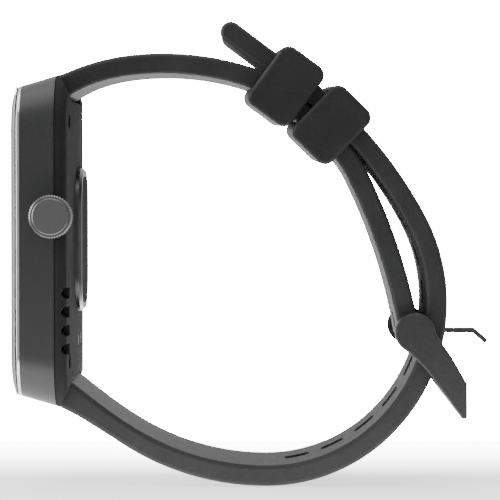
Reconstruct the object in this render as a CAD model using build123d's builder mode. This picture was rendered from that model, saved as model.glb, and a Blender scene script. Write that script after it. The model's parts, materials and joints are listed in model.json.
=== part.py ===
"""Smartwatch with its strap buckled into a loop: case, crown, band, keepers and pin buckle. Millimetres.

Frame: +X is the crown side, -Y the display side and +Z the 12 o'clock end. The origin is the centre of the
rear sensor window, whose flat face looks along +Y.
"""
from math import cos, radians, sin
import os

from build123d import *

# --- Case: a rounded rectangle in plan, its ends narrowing towards the display ---------------------------
CASE_W = 38.0
CASE_L = 47.2
CASE_R = 7.0
FRONT_L = 44.3
WALL = 1.8
SEAM_Y = -3.23
BACK_Y = -0.8
BACK_END_Z = 17.2
BEZEL_BACK_Y = -8.05
BEZEL_Y = -8.5
GLASS_BACK_Y = -8.7
GLASS_Y = -9.4
CAVITY_W = CASE_W - 2 * WALL
CAVITY_L = 38.4
CAVITY_R = 4.2
CAVITY_FRONT_Y = -7.35
CAVITY_BACK_Y = -2.25
BACK_R = 250.0
BACK_EDGE_R = 0.9
SHELL_CAVITY_W = 29.0
PART_GAP = 0.03
SEAM_GAP = 0.1
CASE_SCREW_X = 15.0
CASE_SCREW_Z = 17.0
SCREW_SEAT_Y = -2.15

# --- Rear sensor island ----------------------------------------------------------------------------------
ISLAND_W = 16.4
ISLAND_L = 20.8
ISLAND_R = 5.5
WINDOW_W = 14.0
WINDOW_L = 18.4
WINDOW_T = 0.6

# --- Display, chassis and electronics --------------------------------------------------------------------
PANEL_W = 33.0
PANEL_L = 38.6
PANEL_R = 5.5
CHASSIS_Y = -7.2
CHASSIS_T = 0.6
BOARD_Y = -3.55
BOARD_T = 0.5
BOARD_X = (-14.3, 8.4)
BOARD_Z = (-12.0, 17.9)
BOARD_SCREWS = ((-12.9, -10.6), (-12.9, 14.0), (6.9, -10.6))

# --- Crown and speaker openings on the +X side -----------------------------------------------------------
CROWN_Y = -3.53
CROWN_Z = 3.6
CROWN_TRAVEL = 0.35
KNOB_R = 3.06
KNOB_BACK_X = 19.7
KNOB_FRONT_X = 21.35
CAP_R = 2.6
CAP_FRONT_X = 21.6
TEETH = 48
TOOTH_DEPTH = 0.31
STEM_R = 0.6
STEM_INNER_X = 10.9
TUBE_R = 1.4
TUBE_INNER_X = 15.4
RUNNING = 0.05
SPEAKER_HOLE_R = 0.78
SPEAKER_HOLE_Y = -1.5
SPEAKER_POCKET = 3.8
SPEAKER_DUCT_Y = -2.45
SPEAKER_HOLES_Z = -11.2
SPEAKER_PITCH = 2.64

# --- Straps: arcs about the keeper arc's centre, then tangent arcs of (radius, turn in degrees) -----------
STRAP_W = 20.0
STRAP_T = 3.0
STRAP_EDGE_R = 0.65
LAP_GAP = 0.1
BEND_Y = -6.65
BEND_Z = -27.1
BEND_R = 61.0
UPPER_R = BEND_R - LAP_GAP / 2 - STRAP_T / 2
LOWER_R = BEND_R + LAP_GAP / 2 + STRAP_T / 2
LAP_END = 41.7
UPPER_LAP_END = 42.3
TAIL_START = 53.3
TAIL_L = 11.5
UPPER_LAP_START = 56.5
TIP_R = 1.5
UPPER_TO_CASE = ((8.0, 15.2), (39.6, 25.0))
UPPER_TO_BUCKLE = ((15.0, 15.7), (83.5, 16.7))
LOWER_ROUND = ((60.0, 13.5), (25.2, 71.5), (24.2, 46.6), (37.2, 24.0))
LUG_BAR_Y = -3.0
LUG_BAR_Z = 22.0
ROOT_R = 1.55
RECESS_W = 20.5
RECESS_Z = 20.0
RECESS_Y = -4.9
SLOT_W = 3.2
SLOT_L = 3.6
SLOT_PITCH = 5.9
TONGUE_SLOT = 31.0
SLOTS_UP = 4
SLOTS_DOWN = 5

# --- Spring bars -----------------------------------------------------------------------------------------
BAR_R = 0.75
BAR_HALF = 9.4
BAR_WALL = 0.2
TIP_PIN_R = 0.4
TIP_REACH = 11.4
TIP_INNER = 7.6
TIP_HEAD_R = 0.5
TIP_TRAVEL = 0.9

# --- Pin buckle, swung out from the strap -----------------------------------------------------------------
PIVOT_Y = 47.55
PIVOT_Z = -13.35
BUCKLE_ANGLE = -54.0
ARM_IN = 10.35
ARM_OUT = 12.3
ARM_R = 2.85
ARM_TIP = 14.0
CROSSBAR_IN = 10.2
TONGUE_W = 2.4
TONGUE_EYE_R = 1.3

# --- Keepers ---------------------------------------------------------------------------------------------
KEEPER_L = 7.5
KEEPER_H = 10.3
KEEPER_W = 23.6
KEEPER_R = 1.6
KEEPER_CLEAR = 0.28
KEEPER_SKEW = 2.2
KEEPER_SHIFT = 0.4
KEEPER_SIDE_CLEAR = 0.5
KEEPERS = {"outer_keeper": 53.75, "inner_keeper": 45.75}

os.makedirs("parts", exist_ok=True)


def save(builder, name):
    """Label a finished sub-part and write it as its own STEP file."""
    builder.part.label = name
    export_step(builder.part, f"parts/{name}.step")


def level(y):
    """A plane parallel to the display at height y: local x is +X, local y is +Z, normal -Y."""
    return Plane.XZ.offset(-y)


def side(x):
    """A plane parallel to the case's crown side at x: local x is +Y, local y is +Z, normal +X."""
    return Plane.YZ.offset(x)


def slab(y_front, y_back, width, length, corner=0.0, at=(0.0, 0.0), mode=Mode.ADD):
    """A flat plate with rounded corners between two Y levels, centred at (X, Z)."""
    with BuildSketch(level(y_back)) as outline:
        with Locations(at):
            if corner:
                RectangleRounded(width, length, corner)
            else:
                Rectangle(width, length)
    extrude(outline.sketch, amount=y_back - y_front, mode=mode)


def post(y_front, y_back, radius, at, mode=Mode.ADD):
    """A round post or hole along Y at each (X, Z) place."""
    with BuildSketch(level(y_back)) as outline:
        with Locations(*at):
            Circle(radius)
    extrude(outline.sketch, amount=y_back - y_front, mode=mode)


def rod(x_from, x_to, radius, y, z, mode=Mode.ADD):
    """A round rod or hole along X at (y, z)."""
    with BuildSketch(side(x_from)) as outline:
        with Locations((y, z)):
            Circle(radius)
    extrude(outline.sketch, amount=x_to - x_from, mode=mode)


def polar(angle, radius):
    """A point (Y, Z) on a circle about the keeper arc's centre, at an angle in degrees."""
    turn = radians(angle)
    return BEND_Y + radius * cos(turn), BEND_Z + radius * sin(turn)


CASE_SCREWS = [(sx * CASE_SCREW_X, sz * CASE_SCREW_Z) for sx in (-1, 1) for sz in (-1, 1)]


def behind_back(mode):
    """Everything in front of the gently crowned back surface, as a long cylinder along Z."""
    with BuildSketch(Plane.XY.offset(-CASE_L)) as disc:
        with Locations((0, BACK_Y - BACK_R)):
            Circle(BACK_R)
    extrude(disc.sketch, amount=2 * CASE_L, mode=mode)


def lug_recess():
    """Cut the two strap recesses between the horns and the holes for the spring-bar pins."""
    for end in (-1, 1):
        slab(RECESS_Y, BACK_Y + 1.0, RECESS_W, 10.0, at=(0, end * (RECESS_Z + 5.0)), mode=Mode.SUBTRACT)
    for end in (-1, 1):
        reach = TIP_REACH + 0.4
        rod(-reach, reach, TIP_PIN_R + RUNNING, LUG_BAR_Y, end * LUG_BAR_Z, mode=Mode.SUBTRACT)


# =========================================================================================================
# Case
# =========================================================================================================
with BuildPart() as front_frame:
    with BuildSketch(level(SEAM_Y)):
        RectangleRounded(CASE_W, CASE_L, CASE_R)
    with BuildSketch(level(BEZEL_BACK_Y)):
        RectangleRounded(CASE_W, FRONT_L, CASE_R - 0.5)
    loft()
    slab(CAVITY_FRONT_Y, SEAM_Y, CAVITY_W, CAVITY_L, CAVITY_R, mode=Mode.SUBTRACT)
    slab(BEZEL_BACK_Y, CAVITY_FRONT_Y, PANEL_W + 0.6, PANEL_L + 0.6, PANEL_R, mode=Mode.SUBTRACT)
    post(CAVITY_FRONT_Y, SEAM_Y - 0.65, 1.6, CASE_SCREWS)
    post(-5.9, SEAM_Y, 0.5, CASE_SCREWS, mode=Mode.SUBTRACT)
    lug_recess()
    rod(CAVITY_W / 2 - 0.5, CASE_W, TUBE_R, CROWN_Y, CROWN_Z, mode=Mode.SUBTRACT)
save(front_frame, "front_frame")

with BuildPart() as back_shell:
    with BuildSketch(level(BACK_Y)):
        RectangleRounded(CASE_W, CASE_L, CASE_R)
    extrude(amount=BACK_Y - SEAM_Y - SEAM_GAP)
    behind_back(Mode.INTERSECT)
    fillet(back_shell.faces().sort_by(Axis.Y)[-1].edges(), BACK_EDGE_R)
    with BuildSketch(Plane.YZ):
        with BuildLine():
            flat = Line((BACK_Y, -BACK_END_Z), (BACK_Y, BACK_END_Z))
            upper = Spline(flat @ 1, (-1.3, 20.3), (-2.05, 22.2), (SEAM_Y, CASE_L / 2),
                           tangents=((0, 1), (-1, 0.2)))
            lower = Spline(flat @ 0, (-1.3, -20.3), (-2.05, -22.2), (SEAM_Y, -CASE_L / 2),
                           tangents=((0, -1), (-1, -0.2)))
            Line(upper @ 1, lower @ 1)
        make_face()
    extrude(amount=CASE_W, both=True, mode=Mode.INTERSECT)
    slab(SEAM_Y - 1, CAVITY_BACK_Y, SHELL_CAVITY_W, CAVITY_L, CAVITY_R, mode=Mode.SUBTRACT)
    slab(CAVITY_BACK_Y - 1, BACK_Y + 1, WINDOW_W - 0.4, WINDOW_L - 0.4, ISLAND_R - 1.4, mode=Mode.SUBTRACT)
    post(SEAM_Y + PART_GAP, CAVITY_BACK_Y, 1.9, CASE_SCREWS)
    post(SEAM_Y - 1, BACK_Y + 1, 0.65, CASE_SCREWS, mode=Mode.SUBTRACT)
    post(SCREW_SEAT_Y, BACK_Y + 1, 1.15, CASE_SCREWS, mode=Mode.SUBTRACT)
    post(-2.5, BACK_Y + 1, 1.0, ((-2.6, -14.6), (2.6, -14.6)), mode=Mode.SUBTRACT)
    for step in range(4):
        hole_z = SPEAKER_HOLES_Z + (step - 1.5) * SPEAKER_PITCH
        rod(CASE_W / 2 - SPEAKER_POCKET, CASE_W, SPEAKER_HOLE_R, SPEAKER_HOLE_Y, hole_z, mode=Mode.SUBTRACT)
        rod(SHELL_CAVITY_W / 2 - 0.5, CASE_W / 2 - 1, 0.4, SPEAKER_DUCT_Y, hole_z, mode=Mode.SUBTRACT)
    rod(-CASE_W, -SHELL_CAVITY_W / 2 + 0.5, 0.4, -2.7, 3.0, mode=Mode.SUBTRACT)
    lug_recess()
    rod(SHELL_CAVITY_W / 2 - 0.5, CASE_W, TUBE_R, CROWN_Y, CROWN_Z, mode=Mode.SUBTRACT)
save(back_shell, "back_shell")

with BuildPart() as case_seal:
    slab(SEAM_Y - 0.55, SEAM_Y - 0.1, CAVITY_W - 0.1, CAVITY_L - 0.1, CAVITY_R)
    slab(SEAM_Y - 0.6, SEAM_Y, CAVITY_W - 0.9, CAVITY_L - 0.9, CAVITY_R - 0.4, mode=Mode.SUBTRACT)
    rod(0, CASE_W, TUBE_R + 0.05, CROWN_Y, CROWN_Z, mode=Mode.SUBTRACT)
save(case_seal, "case_seal")

with BuildPart() as back_screws:
    post(SCREW_SEAT_Y + PART_GAP, SCREW_SEAT_Y + 0.5, 1.1, CASE_SCREWS)
    post(-5.8, SCREW_SEAT_Y + PART_GAP, 0.48, CASE_SCREWS)
    with BuildSketch(level(SCREW_SEAT_Y + 0.5)):
        with Locations(*CASE_SCREWS):
            RegularPolygon(0.5, 6)
    extrude(amount=0.3, mode=Mode.SUBTRACT)
save(back_screws, "back_screws")

# =========================================================================================================
# Display
# =========================================================================================================
with BuildPart() as bezel_ring:
    slab(BEZEL_Y, BEZEL_BACK_Y - PART_GAP, CASE_W, FRONT_L - 0.1, CASE_R - 0.5)
    fillet(bezel_ring.faces().sort_by(Axis.Y)[0].outer_wire().edges(), 0.12)
    slab(BEZEL_Y - 1, BEZEL_BACK_Y + 1, PANEL_W + 0.6, PANEL_L + 0.6, PANEL_R, mode=Mode.SUBTRACT)
save(bezel_ring, "bezel_ring")

with BuildPart() as glass_gasket:
    slab(GLASS_BACK_Y + PART_GAP, BEZEL_Y - PART_GAP, CASE_W - 0.7, FRONT_L - 0.7, CASE_R - 0.8)
    slab(BEZEL_Y - 1, BEZEL_BACK_Y, PANEL_W + 0.6, PANEL_L + 0.6, PANEL_R, mode=Mode.SUBTRACT)
save(glass_gasket, "glass_gasket")

with BuildPart() as cover_glass:
    slab(GLASS_Y, GLASS_BACK_Y, CASE_W - 0.4, FRONT_L - 0.4, CASE_R - 0.6)
    front = cover_glass.faces().sort_by(Axis.Y)[0]
    chamfer(front.edges(), length=1.6, length2=0.46, reference=front)
    fillet(cover_glass.faces().sort_by(Axis.Y)[0].edges(), 2.5)
save(cover_glass, "cover_glass")

with BuildPart() as display_panel:
    slab(GLASS_BACK_Y + PART_GAP, CAVITY_FRONT_Y - 0.05, PANEL_W, PANEL_L, PANEL_R - 0.3)
save(display_panel, "display_panel")

with BuildPart() as display_flex:
    with BuildSketch(Plane.YZ):
        with BuildLine():
            Polyline((CAVITY_FRONT_Y, 17.2), (CAVITY_FRONT_Y, 18.55), (BOARD_Y - 0.05, 18.55),
                     (BOARD_Y - 0.05, 16.2))
            offset(amount=-0.12, side=Side.RIGHT)
        make_face()
    extrude(amount=5.0, both=True)
save(display_flex, "display_flex")

# =========================================================================================================
# Inside the case
# =========================================================================================================
with BuildPart() as chassis:
    slab(CHASSIS_Y, CHASSIS_Y + CHASSIS_T, CAVITY_W - 0.6, CAVITY_L - 2.4, CAVITY_R - 0.6)
    post(CHASSIS_Y - 1, BOARD_Y, 2.1, CASE_SCREWS, mode=Mode.SUBTRACT)
    post(CHASSIS_Y, BOARD_Y - PART_GAP, 1.1, BOARD_SCREWS)
    post(BOARD_Y - 1.5, BOARD_Y, 0.45, BOARD_SCREWS, mode=Mode.SUBTRACT)
save(chassis, "chassis")

with BuildPart() as battery:
    slab(-6.35, -3.6, 19.0, 22.0, 1.2, at=(-3.6, 1.6))
    fillet(battery.edges().filter_by(Axis.Y, reverse=True), 0.5)
save(battery, "battery")

with BuildPart() as battery_pad:
    slab(-6.58, -6.37, 17.0, 19.0, 1.0, at=(-3.6, 1.6))
save(battery_pad, "battery_pad")

with BuildPart() as main_board:
    board_at = (sum(BOARD_X) / 2, sum(BOARD_Z) / 2)
    slab(BOARD_Y, BOARD_Y + BOARD_T, BOARD_X[1] - BOARD_X[0], BOARD_Z[1] - BOARD_Z[0], 0.8, at=board_at)
    post(BOARD_Y - 1, 0, 0.6, BOARD_SCREWS, mode=Mode.SUBTRACT)
    post(BOARD_Y - 1, 0, 2.1, CASE_SCREWS, mode=Mode.SUBTRACT)
save(main_board, "main_board")

with BuildPart() as board_screws:
    post(BOARD_Y + BOARD_T, BOARD_Y + BOARD_T + 0.35, 0.95, BOARD_SCREWS)
    post(BOARD_Y - 1.4, BOARD_Y + BOARD_T, 0.42, BOARD_SCREWS)
save(board_screws, "board_screws")

CHIP_FRONT = BOARD_Y + BOARD_T + PART_GAP
with BuildPart() as board_chips:
    for chip_at, chip_size in (((-9.0, 8.0), 5.0), ((-2.5, 14.0), 3.4),
                               ((4.5, 14.5), 2.6), ((-11.0, -4.0), 3.2)):
        slab(CHIP_FRONT, CHIP_FRONT + 0.5, chip_size, chip_size, at=chip_at)
save(board_chips, "board_chips")

with BuildPart() as shield_can:
    slab(CHIP_FRONT, CHIP_FRONT + 0.65, 9.0, 11.0, 0.6, at=(1.6, -4.5))
    slab(CHIP_FRONT - 1, CHIP_FRONT + 0.5, 8.7, 10.7, 0.5, at=(1.6, -4.5), mode=Mode.SUBTRACT)
save(shield_can, "shield_can")

with BuildPart() as vibration_motor:
    rod(-12.5, -3.5, 1.45, -4.9, -14.8)
    rod(-2.9, -0.9, 1.25, -4.9, -14.8)
    rod(-3.5, -2.9, 0.35, -4.9, -14.8)
save(vibration_motor, "vibration_motor")

with BuildPart() as speaker:
    slab(-6.2, SEAM_Y - 0.15, 6.6, 10.4, 0.8, at=(13.2, -9.4))
    slab(-6.2, -5.9, 5.0, 8.8, 0.6, at=(13.2, -9.4), mode=Mode.SUBTRACT)
save(speaker, "speaker")

with BuildPart() as speaker_mesh:
    with BuildSketch(side(SHELL_CAVITY_W / 2 - 0.3)):
        with Locations((-2.75, SPEAKER_HOLES_Z)):
            Rectangle(0.6, 7.6)
    extrude(amount=0.17)
save(speaker_mesh, "speaker_mesh")

with BuildPart() as microphone:
    slab(BOARD_Y + BOARD_T + PART_GAP, CAVITY_BACK_Y - 0.05, 1.0, 2.6, at=(-13.6, 3.0))
save(microphone, "microphone")

# =========================================================================================================
# Rear sensor island and charging contacts
# =========================================================================================================
with BuildPart() as sensor_ring:
    slab(BACK_Y - 0.4, 0, ISLAND_W, ISLAND_L, ISLAND_R)
    chamfer(sensor_ring.faces().sort_by(Axis.Y)[-1].edges(), 0.4)
    slab(BACK_Y - 1, 1, WINDOW_W, WINDOW_L, ISLAND_R - 1.2, mode=Mode.SUBTRACT)
    behind_back(Mode.SUBTRACT)
save(sensor_ring, "sensor_ring")

with BuildPart() as sensor_window:
    slab(-WINDOW_T, 0, WINDOW_W - 0.1, WINDOW_L - 0.1, ISLAND_R - 1.25)
    fillet(sensor_window.faces().sort_by(Axis.Y)[-1].edges(), 0.15)
save(sensor_window, "sensor_window")

with BuildPart() as sensor_board:
    slab(-2.05, -1.6, WINDOW_W - 1.0, WINDOW_L - 1.0, ISLAND_R - 2)
save(sensor_board, "sensor_board")

LED_PLACES = ((0, 1.4), (0, -1.4))
DIODE_PLACES = ((0, 6.2), (0, -6.2), (4.3, 3.4), (-4.3, 3.4), (4.3, -3.4), (-4.3, -3.4))
with BuildPart() as sensor_leds:
    for led in LED_PLACES:
        slab(-1.57, -0.95, 1.6, 1.6, at=led)
save(sensor_leds, "sensor_leds")

with BuildPart() as sensor_photodiodes:
    for diode in DIODE_PLACES:
        slab(-1.57, -1.05, 2.2, 1.7, at=diode)
save(sensor_photodiodes, "sensor_photodiodes")

with BuildPart() as sensor_baffle:
    slab(-1.57, -WINDOW_T - PART_GAP, 4.4, 6.6, 1.4)
    slab(-1.7, 0, 3.6, 5.8, 1.0, mode=Mode.SUBTRACT)
save(sensor_baffle, "sensor_baffle")

PIN_PLACES = ((-2.6, -14.6), (2.6, -14.6))
with BuildPart() as charging_pins:
    post(-2.4, BACK_Y - 0.03, 0.97, PIN_PLACES)
    fillet(charging_pins.faces().sort_by(Axis.Y)[-2:].edges(), 0.15)
save(charging_pins, "charging_pins")

with BuildPart() as charging_magnets:
    post(CAVITY_BACK_Y - 0.7, CAVITY_BACK_Y - PART_GAP, 1.5, ((-7.6, -15.6), (7.6, -15.6)))
save(charging_magnets, "charging_magnets")

# =========================================================================================================
# Crown
# =========================================================================================================
with BuildPart() as crown_tube:
    rod(TUBE_INNER_X, 19.3, TUBE_R - 0.01, CROWN_Y, CROWN_Z)
    rod(TUBE_INNER_X - 1, 20, STEM_R + RUNNING, CROWN_Y, CROWN_Z, mode=Mode.SUBTRACT)
    rod(17.6, 20, 1.05, CROWN_Y, CROWN_Z, mode=Mode.SUBTRACT)
save(crown_tube, "crown_tube")

with BuildPart() as crown_switch:
    with BuildSketch(side(7.2)):
        with Locations((-4.85, CROWN_Z)):
            RectangleRounded(2.6, 3.6, 0.3)
    extrude(amount=2.2)
    rod(9.4, 9.95, 0.9, CROWN_Y - 0.5, CROWN_Z)
save(crown_switch, "crown_switch")

with BuildPart() as crown_pusher:
    with BuildSketch(side(10.4)):
        with Locations((CROWN_Y - 0.1, CROWN_Z)):
            RectangleRounded(2.4, 3.0, 0.4)
    extrude(amount=1.7)
    rod(STEM_INNER_X - 0.1, 13, STEM_R + RUNNING, CROWN_Y, CROWN_Z, mode=Mode.SUBTRACT)
save(crown_pusher, "crown_pusher")

with BuildPart() as crown_stem:
    rod(STEM_INNER_X, 20.9, STEM_R, CROWN_Y, CROWN_Z)
save(crown_stem, "crown_stem")

with BuildPart() as crown_clip:
    rod(TUBE_INNER_X - 0.5, TUBE_INNER_X - 0.1, 1.25, CROWN_Y, CROWN_Z)
    rod(0, CASE_W, STEM_R, CROWN_Y, CROWN_Z, mode=Mode.SUBTRACT)
    with BuildSketch(side(0)):
        with Locations((CROWN_Y, CROWN_Z + 1.0)):
            Rectangle(0.9, 2.0)
    extrude(amount=CASE_W, mode=Mode.SUBTRACT)
save(crown_clip, "crown_clip")

with BuildPart() as crown_o_ring:
    with BuildSketch(Plane.XZ.offset(-CROWN_Y)):
        with Locations((18.5, CROWN_Z + STEM_R + 0.2)):
            Circle(0.19)
    revolve(axis=Axis((0, CROWN_Y, CROWN_Z), (1, 0, 0)))
save(crown_o_ring, "crown_o_ring")

with BuildPart() as crown_knob:
    rod(KNOB_BACK_X, KNOB_FRONT_X, KNOB_R, CROWN_Y, CROWN_Z)
    chamfer(crown_knob.edges().filter_by(GeomType.CIRCLE), 0.2)
    with BuildSketch(side(KNOB_BACK_X)):
        with Locations((CROWN_Y, CROWN_Z)):
            with PolarLocations(KNOB_R, TEETH):
                RegularPolygon(TOOTH_DEPTH / 2 * 1.15, 4)
    extrude(amount=KNOB_FRONT_X, mode=Mode.SUBTRACT)
    rod(KNOB_FRONT_X - 0.3, CASE_W, CAP_R + 0.03, CROWN_Y, CROWN_Z, mode=Mode.SUBTRACT)
    rod(KNOB_BACK_X - 1, 20.9, STEM_R, CROWN_Y, CROWN_Z, mode=Mode.SUBTRACT)
save(crown_knob, "crown_knob")

with BuildPart() as crown_cap:
    rod(KNOB_FRONT_X - 0.3, CAP_FRONT_X, CAP_R, CROWN_Y, CROWN_Z)
    fillet(crown_cap.edges().sort_by(Axis.X)[-1], 0.22)
save(crown_cap, "crown_cap")


# =========================================================================================================
# Straps
# =========================================================================================================
def chain(start, heading, arcs, sense):
    """Tangent arcs in the YZ plane, turning left for sense 1 and right for -1; gives the last arc."""
    tangent = (cos(radians(heading)), sin(radians(heading)))
    arc = None
    for radius, turn in arcs:
        arc = JernArc(start, tangent, radius, sense * turn)
        start = arc @ 1
        tangent = arc % 1
    return arc


def shifted(arcs, change):
    """The same turns at radii that are larger or smaller by a constant."""
    return [(radius + change, turn) for radius, turn in arcs]


def cut_slots():
    """Cut the pin slots through the lower strap, evenly spaced along its middle line."""
    path = slot_path.wires()[0]
    for step in range(-SLOTS_UP, SLOTS_DOWN + 1):
        place = (TONGUE_SLOT + step * SLOT_PITCH) / path.length
        spot = path @ place
        way = path % place
        plane = Plane(origin=spot, x_dir=(1, 0, 0), z_dir=Vector(1, 0, 0).cross(way))
        with BuildSketch(plane) as slot:
            RectangleRounded(SLOT_W, SLOT_L, 0.9)
        extrude(slot.sketch, amount=STRAP_T, both=True, mode=Mode.SUBTRACT)


half = STRAP_T / 2
with BuildPart() as upper_strap:
    with BuildSketch(Plane.YZ):
        with BuildLine():
            for edge in (half, -half):
                lap = CenterArc((BEND_Y, BEND_Z), UPPER_R + edge, UPPER_LAP_END,
                                UPPER_LAP_START - UPPER_LAP_END)
                to_case = chain(lap @ 1, UPPER_LAP_START + 90, shifted(UPPER_TO_CASE, edge), 1)
                to_bar = chain(lap @ 0, UPPER_LAP_END - 90, shifted(UPPER_TO_BUCKLE, edge), -1)
                nose_top = (LUG_BAR_Y + 0.3, LUG_BAR_Z + ROOT_R + 0.3)
                nose_low = (LUG_BAR_Y + 1.4, LUG_BAR_Z - ROOT_R + 0.15)
                if edge > 0:
                    Spline(to_case @ 1, nose_top, tangents=(to_case % 1, (-1, -0.45)))
                    outer_end = to_bar @ 1
                else:
                    Spline(to_case @ 1, nose_low, tangents=(to_case % 1, (-1, -0.7)))
                    inner_end = to_bar @ 1
                    end_way = to_bar % 1
            ThreePointArc(nose_top, (LUG_BAR_Y - ROOT_R, LUG_BAR_Z), nose_low)
            ThreePointArc(outer_end, (outer_end + inner_end) / 2 + end_way * half, inner_end)
        make_face()
    extrude(amount=STRAP_W / 2, both=True)
    fillet(upper_strap.faces().filter_by(Axis.X).edges(), STRAP_EDGE_R)
    rod(-STRAP_W, STRAP_W, BAR_R + 0.03, LUG_BAR_Y, LUG_BAR_Z, mode=Mode.SUBTRACT)
    rod(-STRAP_W, STRAP_W, BAR_R + 0.03, PIVOT_Y, PIVOT_Z, mode=Mode.SUBTRACT)
    with BuildSketch(Plane.XZ.offset(-PIVOT_Y - 4)):
        with Locations((0, PIVOT_Z)):
            Rectangle(TONGUE_W + 0.8, 5.4)
    extrude(amount=8.0, mode=Mode.SUBTRACT)
save(upper_strap, "upper_strap")

with BuildPart() as lower_strap:
    with BuildLine(Plane.YZ) as slot_path:
        chain((*polar(LAP_END, LOWER_R), 0), LAP_END - 90, LOWER_ROUND, -1)
    with BuildSketch(Plane.YZ):
        with BuildLine():
            for edge in (half, -half):
                lap = CenterArc((BEND_Y, BEND_Z), LOWER_R + edge, LAP_END, TAIL_START - LAP_END)
                tail = Line(lap @ 1, lap @ 1 + (lap % 1) * TAIL_L)
                to_case = chain(lap @ 0, LAP_END - 90, shifted(LOWER_ROUND, edge), -1)
                nose_low = (LUG_BAR_Y - 0.2, -LUG_BAR_Z - ROOT_R - 0.35)
                nose_top = (LUG_BAR_Y + 1.7, -LUG_BAR_Z + ROOT_R + 0.1)
                if edge > 0:
                    Spline(to_case @ 1, nose_low, tangents=(to_case % 1, (-1, 0.45)))
                    outer_tip = tail @ 1
                else:
                    Spline(to_case @ 1, nose_top, tangents=(to_case % 1, (-1, 0.8)))
                    inner_tip = tail @ 1
                    tip_way = tail % 1
            ThreePointArc(nose_low, (LUG_BAR_Y - ROOT_R, -LUG_BAR_Z), nose_top)
            ThreePointArc(outer_tip, (outer_tip + inner_tip) / 2 + tip_way * TIP_R, inner_tip)
        make_face()
    extrude(amount=STRAP_W / 2, both=True)
    fillet(lower_strap.faces().filter_by(Axis.X).edges(), STRAP_EDGE_R)
    rod(-STRAP_W, STRAP_W, BAR_R + 0.03, LUG_BAR_Y, -LUG_BAR_Z, mode=Mode.SUBTRACT)
    cut_slots()
save(lower_strap, "lower_strap")

# =========================================================================================================
# Spring bars: a tube, a spring and two sliding pins each
# =========================================================================================================
BARS = {
    "upper_lug": (LUG_BAR_Y, LUG_BAR_Z),
    "lower_lug": (LUG_BAR_Y, -LUG_BAR_Z),
    "buckle": (PIVOT_Y, PIVOT_Z),
}
for bar, (bar_y, bar_z) in BARS.items():
    with BuildPart() as tube:
        rod(-BAR_HALF, BAR_HALF, BAR_R, bar_y, bar_z)
        rod(-BAR_HALF, BAR_HALF, BAR_R - BAR_WALL, bar_y, bar_z, mode=Mode.SUBTRACT)
    save(tube, f"{bar}_bar_tube")
    with BuildPart() as spring:
        with BuildSketch(side(-TIP_INNER + 0.1)):
            with Locations((bar_y, bar_z)):
                Circle(0.45)
                Circle(0.3, mode=Mode.SUBTRACT)
        extrude(amount=2 * TIP_INNER - 0.2)
    save(spring, f"{bar}_bar_spring")
    for hand, way in (("right", 1), ("left", -1)):
        with BuildPart() as pin:
            rod(way * TIP_INNER, way * (BAR_HALF - 0.1), TIP_HEAD_R, bar_y, bar_z)
            rod(way * (BAR_HALF - 0.2), way * TIP_REACH, TIP_PIN_R, bar_y, bar_z)
        save(pin, f"{bar}_bar_pin_{hand}")

# =========================================================================================================
# Buckle
# =========================================================================================================
ALONG_ARM = (0, cos(radians(BUCKLE_ANGLE)), sin(radians(BUCKLE_ANGLE)))
ARM_PLANE = Plane(origin=(0, PIVOT_Y, PIVOT_Z), x_dir=ALONG_ARM, z_dir=(1, 0, 0))
with BuildPart() as buckle_frame:
    with BuildSketch(ARM_PLANE):
        with BuildLine():
            eye = CenterArc((0, 0.4), ARM_R, 65, 225)
            outer = Spline(eye @ 0, (5.6, 2.6), (CROSSBAR_IN, 2.15), tangents=(eye % 0 * -1, (1, -0.05)))
            flare = Line(outer @ 1, (ARM_TIP, -0.55))
            end = TangentArc(flare @ 1, (ARM_TIP - 0.45, -1.35), tangent=flare % 1)
            Spline(eye @ 1, end @ 1, tangents=(eye % 1, (1, 0.03)))
        make_face()
    extrude(amount=ARM_OUT, both=True)
    fillet(buckle_frame.faces().filter_by(Axis.X).edges(), 0.3)
    with BuildSketch(Plane(origin=ARM_PLANE.origin, x_dir=ARM_PLANE.x_dir, z_dir=ARM_PLANE.y_dir)):
        with Locations((CROSSBAR_IN - 20, 0)):
            Rectangle(40, 2 * ARM_IN)
    extrude(amount=8, both=True, mode=Mode.SUBTRACT)
    rod(-TIP_REACH - 0.3, TIP_REACH + 0.3, TIP_PIN_R + RUNNING, PIVOT_Y, PIVOT_Z, mode=Mode.SUBTRACT)
save(buckle_frame, "buckle_frame")

with BuildPart() as buckle_tongue:
    with BuildSketch(Plane.YZ):
        with Locations((PIVOT_Y, PIVOT_Z)):
            Circle(TONGUE_EYE_R)
        with BuildLine():
            Polyline((PIVOT_Y, PIVOT_Z + 0.33), (57.2, PIVOT_Z + 0.33), (59.2, -14.75), (58.72, -15.25),
                     (56.95, PIVOT_Z - 0.33), (PIVOT_Y, PIVOT_Z - 0.33), close=True)
        make_face()
        with Locations((PIVOT_Y, PIVOT_Z)):
            Circle(BAR_R + RUNNING, mode=Mode.SUBTRACT)
    extrude(amount=TONGUE_W / 2, both=True)
save(buckle_tongue, "buckle_tongue")

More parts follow.
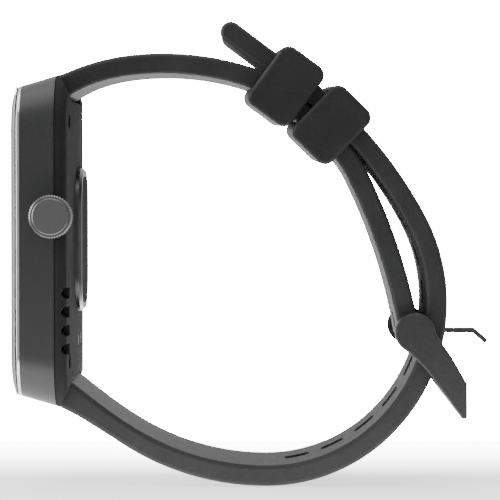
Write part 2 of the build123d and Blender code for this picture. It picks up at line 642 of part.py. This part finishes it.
# =========================================================================================================
# Keepers: straight outside, with a passage that follows the keeper arc
# =========================================================================================================
for keeper_name, keeper_angle in KEEPERS.items():
    with BuildPart() as keeper:
        tail_way = Vector(0, -sin(radians(keeper_angle)), cos(radians(keeper_angle)))
        across = Vector(cos(radians(KEEPER_SKEW)), 0, 0) - tail_way * sin(radians(KEEPER_SKEW))
        keeper_at = Vector(0, *polar(keeper_angle, BEND_R)) + tail_way * KEEPER_SHIFT
        outward = Vector(0, cos(radians(keeper_angle)), sin(radians(keeper_angle)))
        with BuildSketch(Plane(origin=keeper_at, x_dir=outward, z_dir=across)):
            RectangleRounded(KEEPER_H, KEEPER_L, KEEPER_R)
        extrude(amount=KEEPER_W / 2, both=True)
        fillet(keeper.faces().sort_by(Axis.X)[0].edges() + keeper.faces().sort_by(Axis.X)[-1].edges(), 0.6)
        with BuildSketch(Plane.YZ):
            with Locations((BEND_Y, BEND_Z)):
                Circle(BEND_R + LAP_GAP / 2 + STRAP_T + KEEPER_CLEAR)
                Circle(BEND_R - LAP_GAP / 2 - STRAP_T - KEEPER_CLEAR, mode=Mode.SUBTRACT)
        extrude(amount=STRAP_W / 2 + KEEPER_SIDE_CLEAR, both=True, mode=Mode.SUBTRACT)
    save(keeper, keeper_name)
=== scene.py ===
"""Smartwatch with its strap buckled: finishes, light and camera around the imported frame. Metres."""
import json
from math import radians

import bpy
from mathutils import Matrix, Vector


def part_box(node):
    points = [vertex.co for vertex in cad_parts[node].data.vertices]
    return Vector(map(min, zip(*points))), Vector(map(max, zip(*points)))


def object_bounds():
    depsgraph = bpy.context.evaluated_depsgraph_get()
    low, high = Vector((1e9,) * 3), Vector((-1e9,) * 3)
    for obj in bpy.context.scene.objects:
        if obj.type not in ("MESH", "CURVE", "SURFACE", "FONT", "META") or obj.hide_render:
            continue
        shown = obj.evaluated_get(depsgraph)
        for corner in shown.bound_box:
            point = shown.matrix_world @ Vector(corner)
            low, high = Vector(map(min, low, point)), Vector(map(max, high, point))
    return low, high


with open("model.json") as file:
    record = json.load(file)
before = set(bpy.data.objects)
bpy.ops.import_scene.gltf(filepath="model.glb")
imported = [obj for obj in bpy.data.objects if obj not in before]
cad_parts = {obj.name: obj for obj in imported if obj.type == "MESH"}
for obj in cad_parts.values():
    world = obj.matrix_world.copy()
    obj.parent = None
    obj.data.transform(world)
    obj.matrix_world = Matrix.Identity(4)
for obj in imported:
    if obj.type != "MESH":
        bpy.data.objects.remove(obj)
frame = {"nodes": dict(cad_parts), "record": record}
CAD_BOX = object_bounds()
MM = 0.001

# Light: strength of the surroundings where bright and dim, and where along X they fade, from -X (0) to +X (1)
WORLD_BRIGHT = 1.0
WORLD_DIM = 0.40
WORLD_BRIGHT_TO = 0.44
WORLD_DIM_FROM = 0.66
BACKDROP = 40.0  # strength of the white that the camera sees behind the watch
TOP_BOX_POWER = 1.2
DISPLAY_BOX_POWER = 3.5

# Floor: half its side, and its glow at the far edge and from the middle forwards
FLOOR_HALF = 0.06
FLOOR_DROP = 0.1 * MM
FLOOR_GLOW = (12.0, 1.5)


# ---------------------------------------------------------------------------------------------------------
# Material kit
# ---------------------------------------------------------------------------------------------------------
class Nodes:
    """A node tree with short calls for adding and joining nodes."""

    def __init__(self, name):
        self.material = bpy.data.materials.new(name)
        self.material.use_nodes = True
        self.tree = self.material.node_tree
        self.shader = self.tree.nodes["Principled BSDF"]
        self.place = self.add("ShaderNodeTexCoord").outputs["Object"]

    def add(self, kind, **values):
        """Add a node; keywords set its properties."""
        node = self.tree.nodes.new(kind)
        for key, value in values.items():
            setattr(node, key, value)
        return node

    def join(self, source, target):
        self.tree.links.new(source, target)

    def stretched(self, scale):
        """Object coordinates scaled by (x, y, z)."""
        mapping = self.add("ShaderNodeMapping")
        mapping.inputs["Scale"].default_value = scale
        self.join(self.place, mapping.inputs["Vector"])
        return mapping.outputs["Vector"]

    def noise(self, scale, detail=4.0, stretch=(1, 1, 1), rough=0.55):
        """Noise with this many cells per metre."""
        node = self.add("ShaderNodeTexNoise")
        node.inputs["Scale"].default_value = scale
        node.inputs["Detail"].default_value = detail
        node.inputs["Roughness"].default_value = rough
        self.join(self.stretched(stretch), node.inputs["Vector"])
        return node.outputs["Fac"]

    def ramp(self, factor, low, high, start=0.35, end=0.65):
        """Colours from low to high as the factor goes from start to end."""
        node = self.add("ShaderNodeValToRGB")
        node.color_ramp.elements[0].position = start
        node.color_ramp.elements[0].color = (*low, 1)
        node.color_ramp.elements[1].position = end
        node.color_ramp.elements[1].color = (*high, 1)
        self.join(factor, node.inputs["Fac"])
        return node.outputs["Color"]

    def spread(self, factor, low, high):
        """The factor mapped to the range from low to high."""
        node = self.add("ShaderNodeMapRange")
        node.inputs["From Min"].default_value = 0.3
        node.inputs["From Max"].default_value = 0.7
        node.inputs["To Min"].default_value = low
        node.inputs["To Max"].default_value = high
        self.join(factor, node.inputs["Value"])
        return node.outputs["Result"]

    def bump(self, height, distance, strength=1.0):
        """Bump the surface by a height in metres, added to any bump that is already there."""
        node = self.add("ShaderNodeBump")
        node.inputs["Strength"].default_value = strength
        node.inputs["Distance"].default_value = distance
        self.join(height, node.inputs["Height"])
        normal = self.shader.inputs["Normal"]
        if normal.links:
            self.join(normal.links[0].from_socket, node.inputs["Normal"])
        self.join(node.outputs["Normal"], normal)

    def base(self, colour):
        self.join(colour, self.shader.inputs["Base Color"])

    def set(self, **values):
        """Set the shader's own sockets, with underscores for spaces."""
        for key, value in values.items():
            self.shader.inputs[key.replace("_", " ")].default_value = value


def shade(colour, factor):
    return tuple(channel * factor for channel in colour)


def moulded(name, colour, roughness, grain=9000, depth=0.004, cloud=260, contrast=0.12, specular=0.5):
    """Moulded rubber or plastic: fine spark-eroded grain and faint cloudiness."""
    nodes = Nodes(name)
    clouds = nodes.noise(cloud, 5)
    nodes.base(nodes.ramp(clouds, shade(colour, 1 - contrast), shade(colour, 1 + contrast)))
    texture = nodes.noise(grain, 3)
    nodes.join(nodes.spread(nodes.noise(grain / 4, 3), roughness - 0.05, roughness + 0.05),
               nodes.shader.inputs["Roughness"])
    nodes.bump(texture, depth * MM)
    nodes.shader.inputs["Specular IOR Level"].default_value = specular
    return nodes


def metal(name, colour, roughness, stretch=(1, 1, 1), grain=6000, depth=0.003, metallic=1.0, contrast=0.1):
    """Metal with a fine grain, drawn out into brush marks where a stretch is given."""
    nodes = Nodes(name)
    marks = nodes.noise(grain, 3, stretch)
    nodes.base(nodes.ramp(marks, shade(colour, 1 - contrast), shade(colour, 1 + contrast)))
    nodes.join(nodes.spread(nodes.noise(grain / 3, 3, stretch), roughness - 0.06, roughness + 0.06),
               nodes.shader.inputs["Roughness"])
    nodes.bump(marks, depth * MM)
    nodes.set(Metallic=metallic)
    return nodes


# ---------------------------------------------------------------------------------------------------------
# Finishes, one for each material slot
# ---------------------------------------------------------------------------------------------------------
def silicone(name, colour, roughness):
    """Matte silicone with a faint velvety bloom."""
    nodes = moulded(name, colour, roughness, grain=7000, depth=0.005, cloud=180, contrast=0.16, specular=0.45)
    nodes.set(Sheen_Weight=0.05, Sheen_Roughness=0.5)
    return nodes


def frame_coat(name):
    """Satin dark-grey coat with an orange-peel ripple and fine sparkle."""
    nodes = metal(name, (0.055, 0.055, 0.057), 0.4, grain=11000, depth=0.002, metallic=0.35, contrast=0.12)
    nodes.bump(nodes.noise(1400, 2), 0.004 * MM)
    nodes.set(Coat_Weight=0.15, Coat_Roughness=0.3)
    return nodes


def clear_glass(name):
    """Polished cover glass with the faintest smear."""
    nodes = Nodes(name)
    smear = nodes.noise(120, 6)
    nodes.base(nodes.ramp(smear, (0.93, 0.95, 0.95), (1.0, 1.0, 1.0)))
    nodes.join(nodes.spread(smear, 0.015, 0.05), nodes.shader.inputs["Roughness"])
    nodes.set(Transmission_Weight=1.0, IOR=1.5)
    return nodes


def dark_glass(name):
    """Almost black polished glass."""
    nodes = Nodes(name)
    smear = nodes.noise(150, 6)
    nodes.base(nodes.ramp(smear, (0.006, 0.006, 0.007), (0.011, 0.011, 0.013)))
    nodes.join(nodes.spread(smear, 0.04, 0.12), nodes.shader.inputs["Roughness"])
    nodes.set(Coat_Weight=0.6, Coat_Roughness=0.05)
    return nodes


def turned(name, colour, roughness):
    """Metal turned on a lathe about the crown's axis, so its marks are rings."""
    nodes = Nodes(name)
    low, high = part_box("crown_cap")
    shift = nodes.add("ShaderNodeMapping", vector_type="POINT")
    shift.inputs["Location"].default_value = (0, -(low[1] + high[1]) / 2, -(low[2] + high[2]) / 2)
    nodes.join(nodes.place, shift.inputs["Vector"])
    rings = nodes.add("ShaderNodeTexWave", wave_type="RINGS", rings_direction="X")
    rings.inputs["Scale"].default_value = 1500
    rings.inputs["Distortion"].default_value = 1.5
    rings.inputs["Detail"].default_value = 3
    nodes.join(shift.outputs["Vector"], rings.inputs["Vector"])
    nodes.base(nodes.ramp(rings.outputs["Fac"], shade(colour, 0.9), shade(colour, 1.1), 0.0, 1.0))
    nodes.join(nodes.spread(nodes.noise(4000, 3), roughness - 0.05, roughness + 0.05),
               nodes.shader.inputs["Roughness"])
    nodes.bump(rings.outputs["Fac"], 0.0015 * MM)
    nodes.set(Metallic=1.0)
    return nodes


def board(name):
    """Green solder mask with faint copper tracks."""
    nodes = Nodes(name)
    tracks = nodes.add("ShaderNodeTexBrick")
    tracks.inputs["Scale"].default_value = 500
    tracks.inputs["Color1"].default_value = (0.01, 0.06, 0.03, 1)
    tracks.inputs["Color2"].default_value = (0.012, 0.075, 0.035, 1)
    tracks.inputs["Mortar"].default_value = (0.03, 0.13, 0.06, 1)
    nodes.join(nodes.stretched((1, 1, 1)), tracks.inputs["Vector"])
    nodes.base(tracks.outputs["Color"])
    nodes.bump(tracks.outputs["Fac"], 0.01 * MM)
    nodes.set(Roughness=0.4)
    return nodes


FINISHES = {
    "silicone": lambda n: silicone(n, (0.028, 0.028, 0.0285), 0.55),
    "keeper_silicone": lambda n: silicone(n, (0.020, 0.020, 0.0205), 0.52),
    "frame_coat": frame_coat,
    "shell_plastic": lambda n: moulded(n, (0.03, 0.03, 0.0305), 0.7, grain=8000, depth=0.003, specular=0.03),
    "bezel_metal": lambda n: metal(n, (0.86, 0.86, 0.87), 0.22, (1, 1, 0.05), depth=0.001),
    "cover_glass": clear_glass,
    "gasket_rubber": lambda n: moulded(n, (0.02, 0.02, 0.02), 0.6),
    "display_black": dark_glass,
    "flex_film": lambda n: moulded(n, (0.36, 0.17, 0.04), 0.3, grain=1200),
    "screw_steel": lambda n: metal(n, (0.24, 0.24, 0.25), 0.35),
    "chassis_metal": lambda n: metal(n, (0.5, 0.51, 0.52), 0.45, grain=5000, depth=0.006),
    "battery_foil": lambda n: metal(n, (0.55, 0.55, 0.58), 0.35, grain=700, depth=0.03),
    "adhesive_foam": lambda n: moulded(n, (0.12, 0.12, 0.12), 0.8, grain=4000, depth=0.02),
    "board_laminate": board,
    "chip_black": lambda n: moulded(n, (0.02, 0.02, 0.021), 0.45),
    "shield_tin": lambda n: metal(n, (0.62, 0.62, 0.6), 0.35, (0.1, 1, 1)),
    "motor_steel": lambda n: metal(n, (0.5, 0.5, 0.5), 0.3, (0.1, 1, 1)),
    "speaker_plastic": lambda n: moulded(n, (0.04, 0.04, 0.042), 0.5),
    "mesh_steel": lambda n: metal(n, (0.06, 0.06, 0.062), 0.5, grain=9000, depth=0.02),
    "sensor_ring_metal": lambda n: metal(n, (0.17, 0.17, 0.175), 0.32, (1, 1, 0.1), depth=0.001),
    "sensor_glass": lambda n: moulded(n, (0.010, 0.010, 0.011), 0.7, grain=5000, depth=0.001, specular=0.03),
    "led_lens": lambda n: moulded(n, (0.25, 0.42, 0.25), 0.2, grain=2000),
    "diode_black": lambda n: moulded(n, (0.015, 0.015, 0.022), 0.3),
    "contact_gold": lambda n: metal(n, (0.06, 0.055, 0.05), 0.4),
    "magnet_nickel": lambda n: metal(n, (0.6, 0.6, 0.57), 0.2),
    "crown_metal": lambda n: turned(n, (0.24, 0.24, 0.245), 0.36),
    "stem_steel": lambda n: metal(n, (0.5, 0.5, 0.52), 0.25, (0.1, 1, 1)),
    "bar_steel": lambda n: metal(n, (0.42, 0.42, 0.43), 0.3, (0.1, 1, 1)),
    "buckle_metal": lambda n: metal(n, (0.06, 0.06, 0.062), 0.4, grain=5000, depth=0.006, metallic=0.55),
    "tongue_steel": lambda n: metal(n, (0.12, 0.12, 0.125), 0.3, (1, 0.1, 1)),
}


def dress_nodes():
    """Give every CAD node the finish of its material slot."""
    materials = {}
    for part in frame["record"]["subparts"]:
        slot = part["material_slot"]
        if slot not in materials:
            materials[slot] = FINISHES[slot]("finish_" + slot).material
        for holder in frame["nodes"][part["node"]].material_slots:
            holder.material = materials[slot]


# ---------------------------------------------------------------------------------------------------------
# Stage, light and camera
# ---------------------------------------------------------------------------------------------------------
def floor():
    """A small pale floor just under the lowest point of the strap, with a glow that makes it near white."""
    low, high = CAD_BOX
    middle_y = (low[1] + high[1]) / 2
    height = low[2] - FLOOR_DROP
    half = FLOOR_HALF
    corners = ((-half, -half), (half, -half), (half, half), (-half, half))
    mesh = bpy.data.meshes.new("floor")
    mesh.from_pydata([(x, middle_y + y, height) for x, y in corners], [], [(0, 1, 2, 3)])
    stage = bpy.data.objects.new("floor", mesh)
    bpy.context.collection.objects.link(stage)
    nodes = Nodes("floor_paper")
    paper = nodes.ramp(nodes.noise(40, 3), (0.93, 0.93, 0.93), (0.95, 0.95, 0.95))
    nodes.base(paper)
    nodes.join(paper, nodes.shader.inputs["Emission Color"])
    across = nodes.add("ShaderNodeSeparateXYZ")
    nodes.join(nodes.place, across.inputs["Vector"])
    fade = nodes.add("ShaderNodeMapRange", interpolation_type="SMOOTHSTEP")
    fade.inputs["From Min"].default_value = -half
    fade.inputs["From Max"].default_value = 0.0
    fade.inputs["To Min"].default_value, fade.inputs["To Max"].default_value = FLOOR_GLOW
    nodes.join(across.outputs["X"], fade.inputs["Value"])
    nodes.join(fade.outputs["Result"], nodes.shader.inputs["Emission Strength"])
    nodes.set(Roughness=0.9)
    nodes.shader.inputs["Specular IOR Level"].default_value = 0.1
    mesh.materials.append(nodes.material)


def area_light(name, place, target, size, power):
    """A square soft light that looks at a target."""
    light = bpy.data.lights.new(name, "AREA")
    light.size = size
    light.energy = power
    lamp = bpy.data.objects.new(name, light)
    lamp.location = place
    lamp.rotation_euler = (Vector(target) - Vector(place)).to_track_quat("-Z", "Y").to_euler()
    bpy.context.collection.objects.link(lamp)


def light_scene():
    """White surroundings that dim towards the camera's side, with two soft boxes."""
    world = bpy.data.worlds.new("studio")
    world.use_nodes = True
    tree = world.node_tree
    glow = tree.nodes["Background"]
    direction = tree.nodes.new("ShaderNodeTexCoord")
    split = tree.nodes.new("ShaderNodeSeparateXYZ")
    fade = tree.nodes.new("ShaderNodeValToRGB")
    fade.color_ramp.interpolation = "EASE"
    fade.color_ramp.elements[0].position = WORLD_BRIGHT_TO
    fade.color_ramp.elements[0].color = (*[WORLD_BRIGHT] * 3, 1)
    fade.color_ramp.elements[1].position = WORLD_DIM_FROM
    fade.color_ramp.elements[1].color = (*[WORLD_DIM] * 3, 1)
    spread = tree.nodes.new("ShaderNodeMapRange")
    spread.inputs["From Min"].default_value = -1
    spread.inputs["From Max"].default_value = 1
    backdrop = tree.nodes.new("ShaderNodeBackground")
    backdrop.inputs["Color"].default_value = (1, 1, 1, 1)
    backdrop.inputs["Strength"].default_value = BACKDROP
    rays = tree.nodes.new("ShaderNodeLightPath")
    choice = tree.nodes.new("ShaderNodeMixShader")
    links = tree.links
    links.new(direction.outputs["Generated"], split.inputs["Vector"])
    links.new(split.outputs["X"], spread.inputs["Value"])
    links.new(spread.outputs["Result"], fade.inputs["Fac"])
    links.new(fade.outputs["Color"], glow.inputs["Color"])
    links.new(rays.outputs["Is Camera Ray"], choice.inputs["Fac"])
    links.new(glow.outputs["Background"], choice.inputs[1])
    links.new(backdrop.outputs["Background"], choice.inputs[2])
    links.new(choice.outputs["Shader"], tree.nodes["World Output"].inputs["Surface"])
    bpy.context.scene.world = world
    middle = (0, 0.025, 0)
    area_light("top_box", (0.1, 0.0, 0.5), middle, 0.5, TOP_BOX_POWER)
    area_light("display_side_box", (0.04, -0.5, 0.1), middle, 0.4, DISPLAY_BOX_POWER)


def camera():
    """Square to the crown side, a little above the case's middle."""
    data = bpy.data.cameras.new("camera")
    data.sensor_width = 36
    data.lens = 195.84
    data.clip_start = 0.01
    data.clip_end = 20
    eye = bpy.data.objects.new("camera", data)
    place = Vector((0.400, 0.025, 0.009))
    target = Vector((0, 0.02426, -0.00159))
    eye.location = place
    eye.rotation_euler = (target - place).to_track_quat("-Z", "Y").to_euler()
    bpy.context.collection.objects.link(eye)
    bpy.context.scene.camera = eye


dress_nodes()
floor()
light_scene()
camera()
